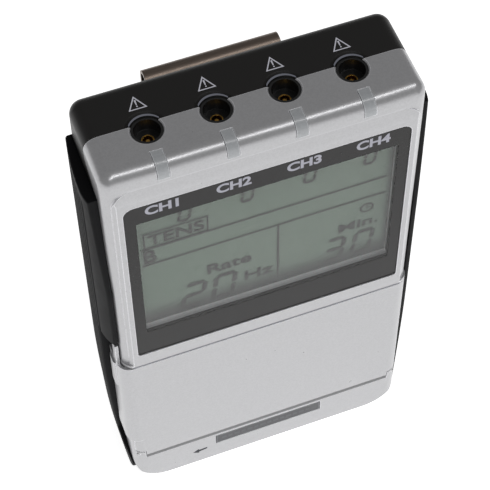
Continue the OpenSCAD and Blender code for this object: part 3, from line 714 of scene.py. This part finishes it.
def digit_shapes(digit, u, v, width, height, line):
    """The segments of a digit whose lower left corner is at u, v."""
    slant = 0.12
    half, middle = line / 2, height / 2

    def across(level):
        return [(line * 0.6, level), (line, level + half), (width - line, level + half),
                (width - line * 0.6, level), (width - line, level - half),
                (line, level - half)]

    def upright(place, low, high):
        return [(place, low + line * 0.2), (place + half, low + line * 0.6),
                (place + half, high - line * 0.6), (place, high - line * 0.2),
                (place - half, high - line * 0.6), (place - half, low + line * 0.6)]

    drawn = [across(height - half), upright(width - half, middle, height - half),
             upright(width - half, half, middle), across(half), upright(half, half, middle),
             upright(half, middle, height - half), across(middle)]
    shapes = [s for s, on in zip(drawn, DIGIT_SEGMENTS[digit]) if on == "1"]
    return [[(u + p + q * slant, v + q) for p, q in s] for s in shapes]


def clock_shapes(u, v, radius):
    """A round clock face with two hands."""
    rim = ring(round_outline(u, v, radius, 16), round_outline(u, v, radius * 0.72, 16))
    hands = [bar(u - 0.15, v - 0.1, u + 0.15, v + radius * 0.6),
             bar(u - 0.1, v - 0.15, u + radius * 0.5, v + 0.15)]
    return rim + hands


def display_content():
    """The figures, rules and words on the display, each with its shade on the reflector."""
    face, base = lcd_low.y, lcd_low.z
    left, right = -31.6, 31.9
    rule = 0.5                              # width of the dividing lines
    shade_u, shade_v = 0.3, -0.4            # the light comes from the upper left
    upper, lower = base + 32.9, base + 26.3
    shapes = [bar(left, upper, right, upper + rule), bar(left, lower, right, lower + rule),
              bar(3.2, base + 1.2, 3.2 + rule, lower)]
    shapes += ring(bar(-30.9, upper + 0.5, -14.5, upper + 6.8),
                   bar(-30.5, upper + 0.9, -14.9, upper + 6.4))
    # Each figure: digit, left edge, lower edge, width, height, width of a segment
    figures = [("2", -22.9, base + 1.9, 6.4, 10.8, 1.35),
               ("0", -14.8, base + 1.9, 6.4, 10.8, 1.35),
               ("3", 15.3, base + 2.7, 5.8, 10.0, 1.25),
               ("0", 23.1, base + 2.7, 5.8, 10.0, 1.25)]
    figures += [("0", u, upper + 7.4, 3.4, 5.4, 0.8) for u in (-22.3, -6.5, 9.4, 24.9)]
    for figure in figures:
        shapes += digit_shapes(*figure)
    shapes += clock_shapes(27.1, base + 22.1, 1.9)
    shade = [[(u + shade_u, v + shade_v) for u, v in s] for s in shapes]
    figure_plane, shade_plane = on_front(face - figure_lift), on_front(face - shade_lift)
    flat_shapes("display_figures", shapes, figure_plane, "housing", SEGMENT)
    flat_shapes("display_shade", shade, shade_plane, "housing", SEGMENT_SHADE)
    # Each word: text and the box that it fills
    words = {
        "mode": ("TENS", (-29.8, upper + 1.6, -15.6, upper + 5.7)),
        "wave": ("B", (-31.1, lower + 1.0, -27.9, upper - 0.5)),
        "rate": ("Rate", (-15.3, base + 14.4, -3.6, base + 18.4)),
        "hertz": ("Hz", (-5.5, base + 6.4, 2.2, base + 10.5)),
        "minutes": ("Min.", (19.7, base + 14.4, 30.4, base + 17.9)),
    }
    for key, (text, box) in words.items():
        shade_box = (box[0] + shade_u, box[1] + shade_v, box[2] + shade_u, box[3] + shade_v)
        lettering(f"display_{key}", text, box, figure_plane, "housing",
                  SEGMENT, weight=0.02)
        lettering(f"display_{key}_shade", text, shade_box, shade_plane, "housing",
                  SEGMENT_SHADE, weight=0.02)


def display_bezel():
    """The pale inner walls of the opening, just outside the window's outline."""
    front, back = span("lens_gasket")[1].y + 0.02, lcd_low.y - 0.3
    outer_x, inner_x, beyond = 34.35, 33.2, 0.3
    outer = bar(-outer_x, lcd_low.z - 0.5, outer_x, lcd_low.z + 49.8)
    inner = bar(-inner_x, window_z[0] - beyond, inner_x, window_z[1] + beyond)
    flat_shapes("display_bezel", ring(outer, inner), on_front(back), "housing",
                MATERIALS["silver_paint"], thickness=back - front)


def nameplate_marks():
    """Blank blocks in place of lettering on the nameplate, and a small pointer beside it."""
    y = plate_low.y
    middle = (plate_low.z + plate_high.z) / 2
    blocks = []
    u = plate_low.x + 1.6
    half_height, space = 0.55, 0.6
    for width in ((1.5, 1.2, 1.6, 1.2) * 4)[:14]:
        blocks.append(bar(u, middle - half_height, u + width, middle + half_height))
        u += width + space
    flat_shapes("nameplate_blocks", blocks, on_front(y), "housing",
                print_ink("ink_plate", linear(112, 113, 116)))
    rim = 0.35
    outer = rounded_outline(plate_low.x, plate_low.z, plate_high.x, plate_high.z, 0.3)
    inner = rounded_outline(plate_low.x + rim, plate_low.z + rim, plate_high.x - rim,
                            plate_high.z - rim, 0.2)
    flat_shapes("nameplate_rim", ring(outer, inner), on_front(y), "housing",
                print_ink("ink_rim", linear(130, 131, 134)))
    u, v = plate_low.x - 5.0, middle - 3.3
    pointer = [(u - 2.2, v - 0.2), (u - 0.4, v - 1.2), (u - 0.3, v - 0.5), (u + 2.1, v - 0.1),
               (u + 2.1, v + 0.6), (u - 0.3, v + 0.4), (u - 0.4, v + 1.0)]
    flat_shapes("pointer_mark", [pointer], on_front(front_low.y), "housing",
                INK_DARK)


def paint_seam_shadow():
    """A painted shadow: a soft grey line along the lens frame's lower edge, above the door, where
    the edge into the door's gap lies in shade.
    """
    low, height, half_width = 63.72, 0.42, 37.4
    flat_shapes("frame_seam_shadow", [bar(-half_width, low, half_width, low + height)],
                on_front(front_low.y), "housing", SEAM_SHADOW)


# ---- the scene ----

SKINNED = ["front_housing", "rear_housing", "keypad_door", "battery_door", "belt_clip",
           "nameplate", "dc_inlet", "display_lens"]
SKINNED += [f"light_pipe_{i}" for i in (1, 2, 3, 4)] + [f"lead_jack_{i}" for i in (1, 2, 3, 4)]
SKINNED += [node for node in sorted(frame["nodes"]) if node.endswith("_key")]

place_camera()
studio()
dress_cad_nodes()
skins = {node: skin(node) for node in SKINNED}
skins["display_lens"].visible_shadow = False        # lets light through to the display
ribbed_grip(-1, "left_grip")
ribbed_grip(1, "right_grip")
warning_signs()
paint_rim_highlights()
lens_border()
display_content()
display_bezel()
nameplate_marks()
paint_seam_shadow()
